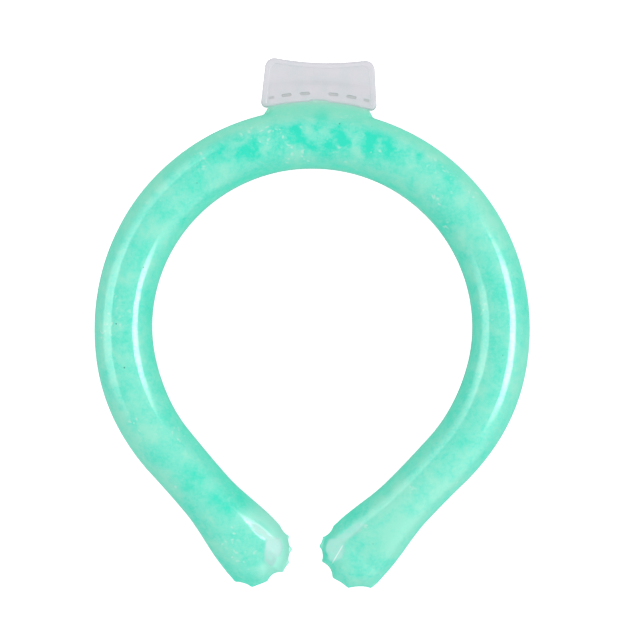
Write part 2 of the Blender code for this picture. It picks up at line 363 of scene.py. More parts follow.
def quarter(half_w, half_h, reach, flange_half, power, blend, fall=0.5, taper=0.0):
    """(distance, height) pairs from just beside the crown to the edge at mid height.

    Height is (1 - share ** power) ** fall, so power 2 and fall 0.5 give the plain ellipse. taper is the
    share of its height that the flange loses on its way out."""

    def body(angle):
        share = math.cos(angle) ** (2 / power)
        return half_w * share, half_h * max(1 - share**power, 0) ** fall

    pairs = []
    for k in range(1, BODY_POINTS + 1):
        pairs.append(body(math.pi / 2 + (BODY_END - math.pi / 2) * k / BODY_POINTS))
    shown = smoothstep(0.0, 0.9 * MM, reach - half_w)
    start = pairs[-1][0]
    for k in range(1, FLANGE_POINTS + 1):
        share = k / FLANGE_POINTS
        angle = BODY_END * (1 - share)
        plain = Vector(body(angle))
        distance = start + (max(reach, half_w) - start) * share
        wall = half_h * max(1 - (distance / half_w) ** power, 0) ** fall
        height = soft_max(wall, flange_half * (1 - taper * share * share), blend)
        if k == FLANGE_POINTS:
            height = 0
        elif k == FLANGE_POINTS - 1:
            distance = reach - 0.15 * flange_half * (1 - taper)
            height = flange_half * 0.9 * (1 - taper)
        spread = Vector((distance, height))
        pairs.append(tuple(plain.lerp(spread, shown)))
    return pairs


print("points per section:", 4 * (BODY_POINTS + FLANGE_POINTS))

# %% [markdown]
# ## The spout's shelf
# At the nape the outer side of the tube is drawn out into a spout as wide as four fingers' tips and
# pressed flat. It could be a second body joined by a Boolean, but then the joint would need a fillet.
# Here the sections themselves reach out over it, so tube and spout stay one smooth surface.

# %% Shape the spout
SPOUT_TURN = math.degrees(math.asin(SPOUT_HALF_W / (80 * MM)))
SPOUT_SHELF = (
    # millimetres from the ring's centre, half height in millimetres
    (74.0, 8.5),
    (78.0, 7.2),
    (80.0, 6.0),
    (82.0, 4.1),
    (83.2, 2.6),
    (84.0, 1.75),
    (84.5, 1.2),
    (85.0, 0.9),
    (92.7, 0.9),
)
SHELF_RADII = (82.0, 83.2, 84.0, 84.6, 85.0, 88.8, 92.3, 92.65)
FILLET_REACH = 2.2 * MM
FILLET_TURN = 3.0


def spout_quarter(half_w, half_h, share, thin):
    """Points of the outer quarter where the spout stands out, share (-1 to 1) of its half width across."""
    turn = math.radians(SPOUT_TURN * share)
    radii = []
    for k in range(1, BODY_POINTS + 1):
        angle = math.pi / 2 + (BODY_END - math.pi / 2) * k / BODY_POINTS
        radii.append(RING_R + half_w * math.cos(angle))
    radii += [r * MM for r in SHELF_RADII]
    points = []
    for k, r in enumerate(radii):
        wall = half_h * math.sqrt(max(1 - ((r - RING_R) / half_w) ** 2, 0))
        shelf = max(smooth_value(SPOUT_SHELF, r / MM, 1), 0.9) * MM
        shelf *= 1 + (thin - 1) * smoothstep(78 * MM, 82 * MM, r)
        height = soft_max(wall, shelf, 1.2 * MM) if r < TUBE_EDGE_R + MM else shelf
        if k == len(radii) - 1:
            height = 0
        across = smoothstep(79 * MM, 83 * MM, r)
        x = r * math.sin(turn) * (1 - across) + SPOUT_HALF_W * share * across
        points.append(Vector((x, math.sqrt(r * r - x * x), height)))
    return points


print("spout half turn in degrees:", round(SPOUT_TURN, 2))

# %% [markdown]
# ## Loft the skin
# Each station stores its crown and the upper points to either side, and the lower half is their mirror.
# Where a leg ends, the last section opens like a fan: its inner half swings round the end of the tip,
# line by line, until it meets its outer half, and the edge of the fan follows the scalloped rim.

# %% Collect the stations


def station(middle, outward, outer_pairs, inner_pairs, half_h):
    """Crown and upper points of one section, from (distance, height) pairs on each side."""
    return {
        "crown": middle + UP * half_h,
        "outer": [middle + outward * d + UP * h for d, h in outer_pairs],
        "inner": [middle - outward * d + UP * h for d, h in inner_pairs],
    }


def arc_station(degrees):
    side = -1 if degrees < 0 else 1
    turn = math.radians(degrees)
    place = abs(degrees) / ARC_HALF
    half_w = smooth_value(TUBE_SHAPE, place, 1) * TUBE_D / 2
    half_h = smooth_value(TUBE_SHAPE, place, 2) * TUBE_D / 2
    outward = Vector((math.sin(turn), math.cos(turn), 0))
    past = min(max((abs(degrees) - SPOUT_TURN) / FILLET_TURN, 0), 1)
    reach = half_w + FILLET_REACH * (1 - past) ** 3
    plain = quarter(half_w, half_h, 0, RIM_HALF, 2.0, MM)
    shoulder = (0.6 + 2.0 * (1 - past) ** 2) * MM
    outer = quarter(half_w, half_h, reach, shoulder, 2.0, 1.5 * MM, taper=0.65) if past < 1 else plain
    made = station(outward * RING_R, outward, outer, plain, half_h)
    if abs(degrees) <= SPOUT_TURN:
        share = degrees / SPOUT_TURN
        thin = max(1 - abs(share) ** 7, 0) ** 0.5 * 0.4 + 0.6
        made["outer"] = spout_quarter(half_w, half_h, share, thin)
    return made, side


def leg_frame(side):
    turn = math.radians(ARC_HALF)
    outward = Vector((side * math.sin(turn), math.cos(turn), 0))
    along = Vector((side * math.cos(turn), -math.sin(turn), 0))
    return outward * RING_R, along, outward


def leg_station(side, place, lean):
    """A section across a leg. lean tilts its inner half towards the first point of the rim."""
    end, along, outward = leg_frame(side)
    half_w = smooth_value(TUBE_SHAPE, 1 + place, 1) * TUBE_D / 2
    half_h = smooth_value(TUBE_SHAPE, 1 + place, 2) * TUBE_D / 2
    reach = smooth_value(RIM_EDGE, place, 1) * RIM_R if place >= RIM_EDGE[0][0] else 0
    flat = smoothstep(0.45, 1.0, place)
    blend = (0.8 + 1.0 * flat) * MM
    pillow = half_w + (RIM_R * RIM_EDGE[-1][1] - TIP_MARGIN - half_w) * flat
    power = 2.0 + (TIP_POWER - 2.0) * flat
    fall = 0.5 + (TIP_FALL - 0.5) * flat
    pairs = quarter(pillow, half_h, reach, RIM_HALF, power, blend, fall)
    made = station(end + along * (LEG * place), outward, pairs, pairs, half_h)
    tilt = math.radians(lean) * smoothstep(0.8, 1.0, place)
    swing = Vector(-outward) * math.cos(tilt) + along * math.sin(tilt)
    made["inner"] = [made["crown"] * 1 + swing * d + UP * (h - half_h) for d, h in pairs]
    return made


TIP_H = TUBE_SHAPE[-1][2] * TUBE_D / 2


def fan_lines(side, cusps):
    """Lines of points from the middle of a tip to each point of its rim's edge."""
    end, along, outward = leg_frame(side)
    middle = end + along * LEG
    lines = []
    for edge in rim_edge_points(cusps):
        toward = (-outward * edge.x + along * edge.y).normalized()
        pillow = min(RIM_R * RIM_EDGE[-1][1], edge.length) - TIP_MARGIN
        pairs = quarter(pillow, TIP_H, edge.length, RIM_HALF, TIP_POWER, 1.8 * MM, TIP_FALL)
        lines.append([middle + toward * d + UP * h for d, h in pairs])
    return lines


spout_shares = (0, 0.14, 0.28, 0.42, 0.56, 0.68, 0.78, 0.86, 0.92, 0.96, 0.985, 1.0)
arc_angles = [SPOUT_TURN * share for share in spout_shares]
arc_angles += [SPOUT_TURN + FILLET_TURN * share for share in (0.03, 0.07, 0.13, 0.2, 0.29, 0.4, 0.52, 0.66, 0.82, 1.0)]
ARC_RINGS = 58
start = arc_angles[-1]
arc_angles += [start + (ARC_HALF - start) * k / ARC_RINGS for k in range(1, ARC_RINGS + 1)]
LEG_RINGS = 56
print("stations on one side:", len(arc_angles) + LEG_RINGS)

# %% Join the stations into one closed skin


def skin_mesh():
    bm = bmesh.new()
    count = BODY_POINTS + FLANGE_POINTS

    def upper_and_lower(points):
        """Vertices of the upper line, with the edge last, then those of the lower one."""
        top = [bm.verts.new(p) for p in points]
        low = [bm.verts.new(Vector((p.x, p.y, -p.z))) for p in points[:-1]]
        return top, low + [top[-1]]

    def add_ring(made):
        crown = bm.verts.new(made["crown"])
        keel = bm.verts.new(Vector((made["crown"].x, made["crown"].y, -made["crown"].z)))
        outer_top, outer_low = upper_and_lower(made["outer"])
        inner_top, inner_low = upper_and_lower(made["inner"])
        loop = [crown, *outer_top, *outer_low[-2::-1], keel, *inner_low, *inner_top[-2::-1]]
        return {"loop": loop, "crown": crown, "keel": keel, "outer": (outer_top, outer_low), "inner": (inner_top, inner_low)}

    def bridge(a, b):
        size = len(a)
        for k in range(size):
            bm.faces.new((a[k], a[(k + 1) % size], b[(k + 1) % size], b[k]))

    def strip(line_a, line_b, pole):
        bm.faces.new((pole, line_a[0], line_b[0]))
        for k in range(count - 1):
            bm.faces.new((line_a[k], line_a[k + 1], line_b[k + 1], line_b[k]))

    halves = {}
    for side, cusps in ((-1, LEFT_CUSPS), (1, RIGHT_CUSPS)):
        rings = [arc_station(side * angle)[0] for angle in arc_angles[1:]]
        lean = cusps[0][0]
        rings += [leg_station(side, k / LEG_RINGS, lean) for k in range(1, LEG_RINGS + 1)]
        halves[side] = rings
    nape = arc_station(0)[0]
    ordered = halves[-1][::-1] + [nape] + halves[1]
    built = [add_ring(made) for made in ordered]
    for a, b in zip(built, built[1:]):
        bridge(a["loop"], b["loop"])
    for ring, side, cusps in ((built[0], -1, LEFT_CUSPS), (built[-1], 1, RIGHT_CUSPS)):
        lines = [ring["inner"]]
        for points in fan_lines(side, cusps)[1:-1]:
            lines.append(upper_and_lower(points))
        lines.append(ring["outer"])
        for (top_a, low_a), (top_b, low_b) in zip(lines, lines[1:]):
            strip(top_a, top_b, ring["crown"])
            strip(low_a, low_b, ring["keel"])
    bmesh.ops.recalc_face_normals(bm, faces=bm.faces)
    mesh = bpy.data.meshes.new("skin")
    bm.to_mesh(mesh)
    bm.free()
    return mesh


def settle(mesh):
    """Smooth shading, and the move from the ring's own centre into the frame."""
    for polygon in mesh.polygons:
        polygon.use_smooth = True
    for vertex in mesh.vertices:
        vertex.co += Vector((0, RING_Y, MID_Z))


FACETS = (
    # side, a point on the crease (inward, along, height in mm over mid height), fall per mm inward, along
    # and more along past the point, twist towards the tip's end, share of the gloss lost and strength of the painted
    # highlight
    (-1, 5.0, 1.0, 7.20, 0.440, 0.20, 0.06, 0.040, 1.0),
    (1, 5.9, 1.4, 6.78, 0.530, 0.19, 0.15, 0.0, 0.6),
)
FACET_BLEND = 0.25 * MM
FACET_EDGE = 0.18 * MM


def press_facets(mesh):
    """Flatten the inner side of each tip to a plane, and mark how far each point is pressed by it."""
    marked = mesh.attributes.new("pressed", "FLOAT", "POINT")
    for side, inward_mm, along_mm, height_mm, fall_inward, fall_along, fall_past, twist, dulled in FACETS:
        end, along, outward = leg_frame(side)
        middle = end + along * LEG
        for vertex in mesh.vertices:
            offset = Vector((vertex.co.x, vertex.co.y, 0)) - middle
            inward, ahead = -offset.dot(outward), offset.dot(along)
            height = abs(vertex.co.z)
            if vertex.co.x * side < 0 or ahead < -LEG / 2 or height < RIM_HALF:
                continue
            past = ahead - along_mm * MM
            aside = inward - inward_mm * MM
            fall = fall_inward * aside + fall_along * past + fall_past * max(past, 0)
            fall += twist / MM * max(past, 0) * max(-aside, 0)
            roof = max(height_mm * MM - fall, RIM_HALF)
            lowered = -soft_max(-height, -roof, FACET_BLEND)
            marked.data[vertex.index].value = smoothstep(-FACET_EDGE, 0, height - roof) * dulled
            vertex.co.z = math.copysign(max(lowered, 0), vertex.co.z)


WOBBLE = 0.10 * MM
WOBBLE_SCALE = 55.0
skin_data = skin_mesh()
press_facets(skin_data)
normals = [vertex.normal.copy() for vertex in skin_data.vertices]
for vertex, normal in zip(skin_data.vertices, normals):
    vertex.co += normal * (WOBBLE * noise.noise(vertex.co * WOBBLE_SCALE) * min(abs(vertex.co.z) / (2 * MM), 1))
settle(skin_data)
for vertex in skin_data.vertices:
    vertex.co.z = max(vertex.co.z, 0)
skin = link(bpy.data.objects.new("skin", skin_data))
print("skin:", len(skin_data.vertices), "points,", len(skin_data.polygons), "faces")

# %% [markdown]
# ## Slush in the gel
# The mottled look is the gel half set: clouds of stronger colour where it is clear, milky ones where it
# has frozen, and a few white grains. Skin and gel show the same clouds, so they come from one node
# group on Object coordinates, and each material gives it its own scale and strength.

# %% Make the slush node group


def add_node(tree, kind, inputs=None, **settings):
    node = tree.nodes.new(kind)
    for name, value in settings.items():
        setattr(node, name, value)
    for name, value in (inputs or {}).items():
        if isinstance(value, bpy.types.NodeSocket):
            tree.links.new(value, node.inputs[name])
        else:
            node.inputs[name].default_value = value
    return node


def ramp(tree, value, low, high):
    """A smooth mask that goes from 0 at low to 1 at high."""
    node = add_node(tree, "ShaderNodeMapRange", {"Value": value}, interpolation_type="SMOOTHSTEP")
    node.inputs["From Min"].default_value = low
    node.inputs["From Max"].default_value = high
    return node.outputs["Result"]


def ramp_between(tree, mask, low, high):
    """A value that goes from low to high as the mask goes from 0 to 1."""
    node = add_node(tree, "ShaderNodeMapRange", {"Value": mask})
    node.inputs["To Min"].default_value = low
    node.inputs["To Max"].default_value = high
    return node.outputs["Result"]


def math_node(tree, operation, a, b):
    return add_node(tree, "ShaderNodeMath", {0: a, 1: b}, operation=operation).outputs[0]


def mix_colour(tree, factor, a, b):
    node = add_node(tree, "ShaderNodeMix", data_type="RGBA")
    for socket, value in ((node.inputs[0], factor), (node.inputs[6], a), (node.inputs[7], b)):
        if isinstance(value, bpy.types.NodeSocket):
            tree.links.new(value, socket)
        else:
            socket.default_value = value
    return node.outputs[2]


def make_slush():
    group = bpy.data.node_groups.new("slush", "ShaderNodeTree")
    for name, default in (
        ("Cloud Scale", 130.0), ("Crystal Scale", 850.0), ("Grain Scale", 460.0),
        ("Bias", 0.0), ("Contrast", 1.0), ("Grain Bias", 0.0),
    ):
        socket = group.interface.new_socket(name, in_out="INPUT", socket_type="NodeSocketFloat")
        socket.default_value = default
    for name in ("Clear", "Milky", "Grain", "Specks"):
        group.interface.new_socket(name, in_out="OUTPUT", socket_type="NodeSocketFloat")
    given = group.nodes.new("NodeGroupInput")
    result = group.nodes.new("NodeGroupOutput")
    where = group.nodes.new("ShaderNodeTexCoord").outputs["Object"]
    bend = add_node(group, "ShaderNodeTexNoise", {"Vector": where, "Scale": 260.0, "Detail": 2.0})
    bent = add_node(group, "ShaderNodeVectorMath", {0: bend.outputs["Color"], "Scale": 0.004}, operation="SCALE").outputs[0]
    wavy = add_node(group, "ShaderNodeVectorMath", {0: where, 1: bent}, operation="ADD").outputs[0]
    clouds = add_node(
        group, "ShaderNodeTexNoise",
        {"Vector": wavy, "Scale": given.outputs["Cloud Scale"], "Detail": 6.0, "Roughness": 0.66},
    ).outputs["Fac"]
    half_scale = math_node(group, "MULTIPLY", given.outputs["Cloud Scale"], 0.33)
    drifts = add_node(
        group, "ShaderNodeTexNoise", {"Vector": wavy, "Scale": half_scale, "Detail": 2.0},
    ).outputs["Fac"]
    mixed = math_node(group, "ADD", math_node(group, "MULTIPLY", clouds, 0.65), math_node(group, "MULTIPLY", drifts, 0.35))
    spread = math_node(group, "MULTIPLY", math_node(group, "SUBTRACT", mixed, 0.5), given.outputs["Contrast"])
    crystals = add_node(
        group, "ShaderNodeTexNoise", {"Vector": where, "Scale": given.outputs["Crystal Scale"], "Detail": 2.0},
    ).outputs["Fac"]
    fine = math_node(group, "MULTIPLY", math_node(group, "SUBTRACT", crystals, 0.5), 0.16)
    centred = math_node(group, "ADD", math_node(group, "ADD", spread, 0.5), fine)
    level = math_node(group, "ADD", centred, given.outputs["Bias"])
    cells = add_node(group, "ShaderNodeTexVoronoi", {"Vector": wavy, "Scale": given.outputs["Grain Scale"]})
    flecks = ramp(group, cells.outputs["Distance"], 0.38, 0.12)
    flock = add_node(group, "ShaderNodeTexNoise", {"Vector": where, "Scale": 75.0, "Detail": 3.0})
    some = ramp(group, math_node(group, "ADD", flock.outputs["Fac"], given.outputs["Grain Bias"]), 0.60, 0.70)
    specks = add_node(group, "ShaderNodeTexVoronoi", {"Vector": where, "Scale": 110.0})
    dots = ramp(group, specks.outputs["Distance"], 0.045, 0.020)
    group.links.new(ramp(group, level, 0.47, 0.73), result.inputs["Clear"])
    group.links.new(ramp(group, level, 0.54, 0.34), result.inputs["Milky"])
    group.links.new(math_node(group, "MULTIPLY", flecks, some), result.inputs["Grain"])
    group.links.new(dots, result.inputs["Specks"])
    return group


slush = make_slush()
print("slush group outputs:", [item.name for item in slush.interface.items_tree if item.in_out == "OUTPUT"])

# %% [markdown]
# ## The skin's material
# Milky soft plastic lets light in and scatters it, so subsurface scattering does the softness and a
# clear coat the wet gloss. Past the nape the spout holds no gel, and its pressed film is nearly clear.
# Some light is painted into the colour: a painted highlight on the tips' pressed facets and along the
# right tip's crease, and painted shade that deepens the colour on the tube's steep sides.

# %% Make the skin's material
MINT = (0.152, 0.692, 0.540, 1)
TEAL = (0.012, 0.655, 0.475, 1)
PALE = (0.262, 0.712, 0.560, 1)
GRAIN = (0.420, 0.720, 0.620, 1)
SPECK = (0.030, 0.200, 0.140, 1)
FILM = (0.560, 0.590, 0.600, 1)
FACET_PAINTED_HIGHLIGHT = (0.325, 0.610, 0.555, 1)
OUTER = (0.240, 0.700, 0.500, 1)
CREASE_PAINTED_HIGHLIGHT = (0.600, 0.760, 0.720, 1)
SIDE_PAINTED_SHADE = (0.050, 0.820, 0.580, 1)
BORDER = (0.350, 0.755, 0.630, 1)
# Ends of the right tip's crease, along which a thin painted highlight runs.
CREASE_HIGHLIGHT_START = Vector((14.2, -80.2, 0)) * MM
CREASE_HIGHLIGHT_END = Vector((9.7, -88.6, 0)) * MM


LEFT_TIP = (-23 * MM, -82 * MM, 0)
PATCHES = (
    # middle in mm from the ring's centre, radius of the full change and of none, change of the slush's bias
    (-26.0, -74.0, 14.0, 34.0, 0.08),
    (38.0, -62.0, 8.0, 26.0, -0.05),
    (18.8, 69.3, 0.5, 4.8, 0.24),
    (1.5, 79.5, 0.5, 4.5, 0.26),
)


def gel_depth(tree, centred, flat, radius):
    """How much clearer the slush shows here: over the crown at the nape, less on the ring's outer side."""
    off_crown = math_node(tree, "ABSOLUTE", math_node(tree, "SUBTRACT", radius, RING_R), 0.0)
    crown = ramp(tree, off_crown, 9 * MM, 2 * MM)
    ahead = add_node(tree, "ShaderNodeSeparateXYZ", {0: centred}).outputs["Y"]
    nape = math_node(tree, "MULTIPLY", ramp(tree, ahead, 56 * MM, 69 * MM), crown)
    outer = ramp(tree, radius, RING_R + 3 * MM, RING_R + 10 * MM)
    bias = math_node(tree, "SUBTRACT", math_node(tree, "MULTIPLY", nape, 0.115), 0.006)
    for x, y, full, none, change in PATCHES:
        middle = (x * MM, y * MM, 0)
        off = add_node(tree, "ShaderNodeVectorMath", {0: flat, 1: middle}, operation="DISTANCE").outputs["Value"]
        bias = math_node(tree, "ADD", bias, math_node(tree, "MULTIPLY", ramp(tree, off, none * MM, full * MM), change))
    contrast = math_node(tree, "ADD", math_node(tree, "MULTIPLY", nape, 0.85), 0.92)
    return math_node(tree, "SUBTRACT", bias, math_node(tree, "MULTIPLY", outer, 0.055)), contrast, ahead


BORDER_MIDDLE = (-21.5 * MM, -81.5 * MM, 0)
BORDER_PALEST = (-12 * MM, -79 * MM, 0)


def border_mask(tree, flat):
    """Round the left tip, palest towards the other one: the walls meet there with no gel between them."""
    off, near = (
        add_node(tree, "ShaderNodeVectorMath", {0: flat, 1: point}, operation="DISTANCE").outputs["Value"]
        for point in (BORDER_MIDDLE, BORDER_PALEST)
    )
    shown = math_node(tree, "MULTIPLY", ramp(tree, off, 7 * MM, 10.5 * MM), ramp(tree, near, 20 * MM, 8 * MM))
    return math_node(tree, "MULTIPLY", shown, 0.8)


def crease_highlight_mask(tree, flat):
    """A thin painted highlight along the right tip's crease."""
    run = (CREASE_HIGHLIGHT_END - CREASE_HIGHLIGHT_START).normalized()
    across = Vector((-run.y, run.x, 0))
    offset = add_node(tree, "ShaderNodeVectorMath", {0: flat, 1: CREASE_HIGHLIGHT_START}, operation="SUBTRACT").outputs[0]
    aside = add_node(tree, "ShaderNodeVectorMath", {0: offset, 1: across}, operation="DOT_PRODUCT").outputs["Value"]
    ahead = add_node(tree, "ShaderNodeVectorMath", {0: offset, 1: run}, operation="DOT_PRODUCT").outputs["Value"]
    thin = ramp(tree, math_node(tree, "ABSOLUTE", aside, 0.0), 0.30 * MM, 0.10 * MM)
    length = (CREASE_HIGHLIGHT_END - CREASE_HIGHLIGHT_START).length
    ends = math_node(tree, "MULTIPLY", ramp(tree, ahead, 0.0, 2 * MM), ramp(tree, ahead, length, length - 2 * MM))
    return math_node(tree, "MULTIPLY", math_node(tree, "MULTIPLY", thin, ends), 0.85)


def make_skin_material():
    material = new_material("milky_mint_skin")
    tree = material.node_tree
    shader = principled(material)
    where = tree.nodes.new("ShaderNodeTexCoord").outputs["Object"]
    centred = add_node(tree, "ShaderNodeVectorMath", {0: where, 1: (0, RING_Y, 0)}, operation="SUBTRACT").outputs[0]
    flat = add_node(tree, "ShaderNodeVectorMath", {0: centred, 1: (1, 1, 0)}, operation="MULTIPLY").outputs[0]
    radius = add_node(tree, "ShaderNodeVectorMath", {0: flat}, operation="LENGTH").outputs["Value"]
    bias, contrast, ahead = gel_depth(tree, centred, flat, radius)
    off_tip = add_node(tree, "ShaderNodeVectorMath", {0: flat, 1: LEFT_TIP}, operation="DISTANCE").outputs["Value"]
    grainy = math_node(tree, "MULTIPLY", ramp(tree, off_tip, 13 * MM, 5 * MM), 0.18)
    grainy = math_node(tree, "ADD", grainy, math_node(tree, "MULTIPLY", ramp(tree, ahead, 50 * MM, 66 * MM), 0.14))
    group = add_node(tree, "ShaderNodeGroup", {}, node_tree=slush)
    for name, value in (("Bias", bias), ("Contrast", contrast), ("Grain Bias", grainy)):
        tree.links.new(value, group.inputs[name])
    colour = mix_colour(tree, group.outputs["Clear"], MINT, TEAL)
    colour = mix_colour(tree, group.outputs["Milky"], colour, PALE)
    colour = mix_colour(tree, math_node(tree, "MULTIPLY", group.outputs["Grain"], 0.8), colour, GRAIN)
    colour = mix_colour(tree, math_node(tree, "MULTIPLY", group.outputs["Specks"], 0.8), colour, SPECK)
    rim_side = math_node(tree, "MULTIPLY", ramp(tree, radius, RING_R + 4 * MM, RING_R + 11 * MM), ramp(tree, ahead, 5 * MM, 60 * MM))
    colour = mix_colour(tree, math_node(tree, "MULTIPLY", rim_side, 0.6), colour, OUTER)
    past_lip = math_node(tree, "MULTIPLY", ramp(tree, radius, TAB_LOW_R - 3.2 * MM, TAB_LOW_R + 3.2 * MM), ramp(tree, ahead, 60 * MM, 70 * MM))
    colour = mix_colour(tree, past_lip, colour, FILM)
    # Painted shade: the colour deepens and turns greener where the surface turns steep, on the tube's sides.
    facing = add_node(tree, "ShaderNodeSeparateXYZ", {0: tree.nodes.new("ShaderNodeTexCoord").outputs["Normal"]})
    level = math_node(tree, "ABSOLUTE", facing.outputs["Z"], 0.0)
    colour = mix_colour(tree, math_node(tree, "MULTIPLY", ramp(tree, level, 0.75, 0.30), 0.5), colour, SIDE_PAINTED_SHADE)
    colour = mix_colour(tree, border_mask(tree, flat), colour, BORDER)
    # Painted highlight: the tips' pressed facets are lightened in streaks, standing in for their reflection of the
    # bright softbox.
    pressed_here = add_node(tree, "ShaderNodeAttribute", attribute_name="pressed").outputs["Fac"]
    streaks = add_node(tree, "ShaderNodeTexNoise", {"Vector": where, "Scale": 600.0, "Detail": 3.0}).outputs["Fac"]
    facet_painted_highlight = math_node(tree, "MULTIPLY", pressed_here, ramp(tree, streaks, 0.10, 0.52))
    colour = mix_colour(tree, facet_painted_highlight, colour, FACET_PAINTED_HIGHLIGHT)
    colour = mix_colour(tree, crease_highlight_mask(tree, flat), colour, CREASE_PAINTED_HIGHLIGHT)
    tree.links.new(colour, shader.inputs["Base Color"])
    shader.inputs["Roughness"].default_value = 0.38
    shader.inputs["Specular IOR Level"].default_value = 0.1
    shader.inputs["Subsurface Weight"].default_value = 0.35
    shader.inputs["Subsurface Radius"].default_value = (0.6, 1.0, 0.9)
    shader.inputs["Subsurface Scale"].default_value = 1.2 * MM
    tree.links.new(ramp_between(tree, pressed_here, 0.5, 0.06), shader.inputs["Coat Weight"])
    shader.inputs["Coat Roughness"].default_value = 0.028
    shader.inputs["Coat IOR"].default_value = 1.38
    ripple = add_node(tree, "ShaderNodeTexNoise", {"Vector": where, "Scale": 220.0, "Detail": 3.0})
    bump = add_node(tree, "ShaderNodeBump", {"Height": ripple.outputs["Fac"], "Strength": 0.12, "Distance": 0.3 * MM})
    tree.links.new(bump.outputs["Normal"], shader.inputs["Normal"])
    return material


skin_data.materials.append(make_skin_material())
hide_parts("tube_skin")
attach(skin, "root")
print("skin material ready")

# %% [markdown]
# ## The gel
# The gel takes the shape of the hollow, so it follows a rule: a round section swept along the tube's own
# path. Geometry Nodes does that, and every size stays an input. The path is a line of points that
# carry their half width and half height, the section is a circle, and the ends close in a dome.

# %% Draw the gel's path
SKIN_WALL = 1.5 * MM
GEL_GAP = 0.3 * MM
GEL_RINGS = 90
DOME_RINGS = 9


def gel_path():
    """Points along the tube with the gel's half width and half height at each."""
    inset = SKIN_WALL + GEL_GAP
    half = []
    for k in range(GEL_RINGS + 1):
        place = k / GEL_RINGS
        turn = math.radians(ARC_HALF * place)
        half.append((Vector((math.sin(turn), math.cos(turn), 0)) * RING_R, place))
    end, along, _ = leg_frame(1)
    leg_rings = GEL_RINGS // 3
    for k in range(1, leg_rings + 1):
        half.append((end + along * (LEG * k / leg_rings), 1 + k / leg_rings))
    rows = [
        (p, smooth_value(TUBE_SHAPE, t, 1) * TUBE_D / 2 - inset, smooth_value(TUBE_SHAPE, t, 2) * TUBE_D / 2 - inset)
        for p, t in half
    ]
    tip, tip_w, tip_h = rows[-1]
    for k in range(1, DOME_RINGS + 1):
        bend = math.radians(88) * k / DOME_RINGS
        rows.append((tip + along * (tip_w * math.sin(bend)), tip_w * math.cos(bend), tip_h * math.cos(bend)))
    mirrored = [(Vector((-p.x, p.y, 0)), w, h) for p, w, h in rows[:0:-1]]
    return mirrored + rows


def path_object(name, rows):
    mesh = bpy.data.meshes.new(name)
    mesh.from_pydata([p for p, _, _ in rows], [(k, k + 1) for k in range(len(rows) - 1)], [])
    for attribute, column in (("half_w", 1), ("half_h", 2)):
        layer = mesh.attributes.new(attribute, "FLOAT", "POINT")
        layer.data.foreach_set("value", [row[column] for row in rows])
    return link(bpy.data.objects.new(name, mesh))


gel_line = path_object("gel_line", gel_path())
print("points on the gel's path:", len(gel_line.data.vertices))

# %% [markdown]
# ## Sweep the gel with Geometry Nodes
# Curve to Mesh scales the circle evenly, which only gives round sections. So the half width is used as
# the scale, and the height is then pressed to its own share of the width. A little noise along the
# normals leaves the surface lumpy, like slush.

# %% Build the sweep


def add_input(group, name, kind, default=None):
    socket = group.interface.new_socket(name, in_out="INPUT", socket_type=kind)
    if default is not None:
        socket.default_value = default
    return socket


def read_attribute(group, name):
    node = add_node(group, "GeometryNodeInputNamedAttribute", {"Name": name}, data_type="FLOAT")
    return node.outputs["Attribute"]


def gel_sweep():
    group = bpy.data.node_groups.new("gel_sweep", "GeometryNodeTree")
    add_input(group, "Path", "NodeSocketGeometry")
    add_input(group, "Sides", "NodeSocketInt", 40)
    add_input(group, "Lump Height", "NodeSocketFloat", 0.15 * MM)
    add_input(group, "Lump Scale", "NodeSocketFloat", 220.0)
    add_input(group, "Material", "NodeSocketMaterial")
    group.interface.new_socket("Gel", in_out="OUTPUT", socket_type="NodeSocketGeometry")
    given = group.nodes.new("NodeGroupInput").outputs
    result = group.nodes.new("NodeGroupOutput").inputs
    line = add_node(group, "GeometryNodeMeshToCurve", {"Mesh": given["Path"]})
    upright = add_node(group, "GeometryNodeSetCurveNormal", {"Curve": line.outputs[0]}, mode="Z_UP")
    half_w = read_attribute(group, "half_w")
    half_h = read_attribute(group, "half_h")
    circle = add_node(group, "GeometryNodeCurvePrimitiveCircle", {"Resolution": given["Sides"], "Radius": 1.0})
    swept = add_node(
        group, "GeometryNodeCurveToMesh",
        {"Curve": upright.outputs[0], "Profile Curve": circle.outputs["Curve"], "Scale": half_w, "Fill Caps": True},
    )
    where = add_node(group, "ShaderNodeSeparateXYZ", {0: group.nodes.new("GeometryNodeInputPosition").outputs[0]})
    share = math_node(group, "DIVIDE", half_h, half_w)
    height = math_node(group, "MULTIPLY", where.outputs["Z"], share)
    pressed = add_node(group, "ShaderNodeCombineXYZ", {"X": where.outputs["X"], "Y": where.outputs["Y"], "Z": height})
    flat = add_node(group, "GeometryNodeSetPosition", {"Geometry": swept.outputs[0], "Position": pressed.outputs[0]})
    lumps = add_node(group, "ShaderNodeTexNoise", {"Scale": given["Lump Scale"], "Detail": 2.0})
    inward = math_node(group, "MULTIPLY", math_node(group, "MULTIPLY", lumps.outputs["Fac"], given["Lump Height"]), -1.0)
    normal = group.nodes.new("GeometryNodeInputNormal").outputs[0]
    push = add_node(group, "ShaderNodeVectorMath", {0: normal, "Scale": inward}, operation="SCALE").outputs[0]
    lumpy = add_node(group, "GeometryNodeSetPosition", {"Geometry": flat.outputs[0], "Offset": push})
    smooth = add_node(group, "GeometryNodeSetShadeSmooth", {"Geometry": lumpy.outputs[0]})
    real = add_node(group, "GeometryNodeRealizeInstances", {"Geometry": smooth.outputs[0]})
    painted = add_node(group, "GeometryNodeSetMaterial", {"Geometry": real.outputs[0], "Material": given["Material"]})
    group.links.new(painted.outputs[0], result["Gel"])
    return group


